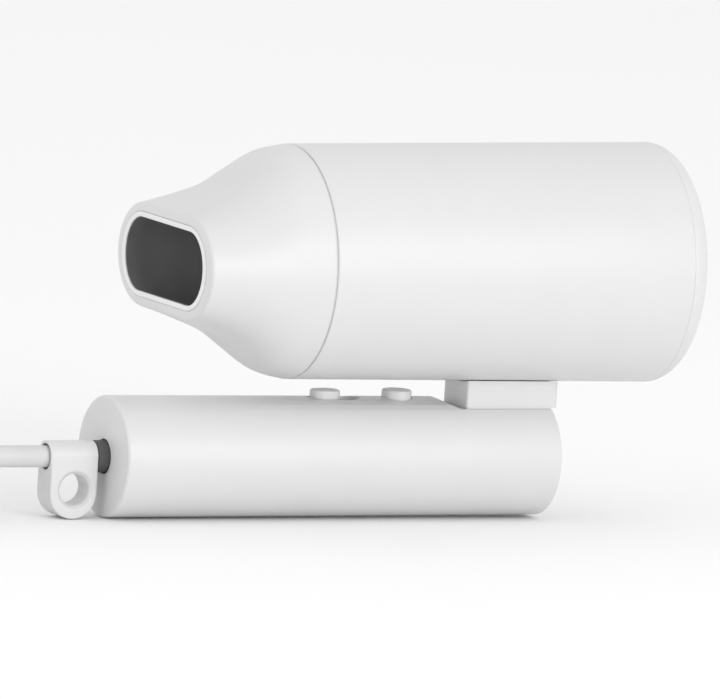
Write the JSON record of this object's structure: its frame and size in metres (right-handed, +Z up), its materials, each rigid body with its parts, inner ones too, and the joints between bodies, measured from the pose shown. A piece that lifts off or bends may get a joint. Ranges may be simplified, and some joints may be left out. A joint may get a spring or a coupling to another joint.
{
  "type": "hair dryer",
  "caption": "Folding travel hair dryer: round barrel with a flat concentrator nozzle, hinged to a straight round handle with slide switch, button, hanging loop and cord.",
  "frame": {"origin": "centre of the footprint of the folded dryer without its cord, on the surface it lies on", "axes": "+X along the barrel and handle, away from the nozzle; +Z up from the handle to the barrel; +Y across"},
  "size_m": [0.3439, 0.1104, 0.116],
  "materials": {
    "white_shell": "satin white, fine even moulding",
    "white_trim": "white, matte",
    "dark_liner": "dark grey heat-resistant nylon",
    "dark_rubber": "dark grey rubber",
    "grey_nylon": "natural grey nylon",
    "steel": "brushed steel",
    "brass": "plain brass",
    "cord_jacket": "light grey-white cord jacket",
    "board": "green circuit board",
    "mica": "mica sheet",
    "wire_red": "red wire insulation",
    "wire_blue": "blue wire insulation"
  },
  "bodies": {
    "handle": {"handle_shell": "white_shell", "handle_end_cap": "white_shell", "cord_guard": "white_shell", "guard_bush": "dark_rubber", "mains_wire_live": "wire_red", "mains_wire_neutral": "wire_blue", "cord_clamp_base": "grey_nylon", "cord_clamp_bar": "grey_nylon", "clamp_screw_front": "steel", "clamp_screw_rear": "steel", "terminal_block": "grey_nylon", "chassis": "grey_nylon", "control_board": "board", "suppression_capacitor": "wire_blue", "slide_switch": "grey_nylon", "switch_track": "white_trim", "tact_switch": "steel", "button_spring": "steel", "handle_harness": "dark_rubber", "hinge_pin": "steel", "hinge_cap": "white_shell", "friction_washer_front": "steel", "friction_washer_rear": "steel", "cord_lead": "cord_jacket", "cord_coil": "cord_jacket", "cord_tail": "cord_jacket", "cord_tie": "dark_rubber", "plug_body": "cord_jacket", "plug_blade_front": "brass", "plug_blade_rear": "brass"},
    "speed_slider": {"slide_knob": "white_shell", "slide_actuator": "grey_nylon"},
    "cool_button": {"push_button": "white_shell"},
    "barrel": {"neck_block": "white_shell", "hinge_bush": "brass", "neck_screw_1": "steel", "neck_screw_2": "steel", "barrel_harness": "dark_rubber", "barrel_shell": "white_shell", "fan_housing": "grey_nylon", "motor_can": "steel", "heater_frame": "mica", "heating_coil_main": "steel", "heating_coil_boost": "steel", "mica_sleeve": "mica", "thermostat": "steel", "thermal_fuse": "brass", "outlet_grille": "dark_liner"},
    "fan": {"motor_shaft": "steel", "impeller": "dark_liner"},
    "nozzle_collar": {"nozzle_ring": "steel"},
    "nozzle": {"nozzle_shell": "white_shell", "nozzle_liner": "dark_liner"},
    "rear_cover": {"rear_cap": "white_shell", "rear_grille": "white_trim", "filter_mesh": "grey_nylon"}
  },
  "joints": [
    {"name": "barrel_fold", "type": "hinge", "parent": "handle", "child": "barrel", "pos_m": [0.0511, 0, 0.01875], "axis": [0, 1, 0], "range_deg": [0, 90]},
    {"name": "speed_slide", "type": "slide", "parent": "handle", "child": "speed_slider", "axis": [1, 0, 0], "range_m": [0, 0.0058]},
    {"name": "button_press", "type": "slide", "parent": "handle", "child": "cool_button", "axis": [0, 0, -1], "range_m": [0, 0.0011], "stiffness_N_per_m": 1500, "deforming": ["button_spring"]},
    {"name": "fan_spin", "type": "hinge", "parent": "barrel", "child": "fan", "pos_m": [0.0666, 0, 0.07905], "axis": [1, 0, 0], "continuous": true},
    {"name": "nozzle_pull", "type": "slide", "parent": "barrel", "child": "nozzle_collar", "axis": [-1, 0, 0], "range_m": [0, 0.045]},
    {"name": "nozzle_turn", "type": "hinge", "parent": "nozzle_collar", "child": "nozzle", "pos_m": [-0.0234, 0, 0.07905], "axis": [1, 0, 0], "continuous": true},
    {"name": "rear_cover_pull", "type": "slide", "parent": "barrel", "child": "rear_cover", "axis": [1, 0, 0], "range_m": [0, 0.02]}
  ]
}
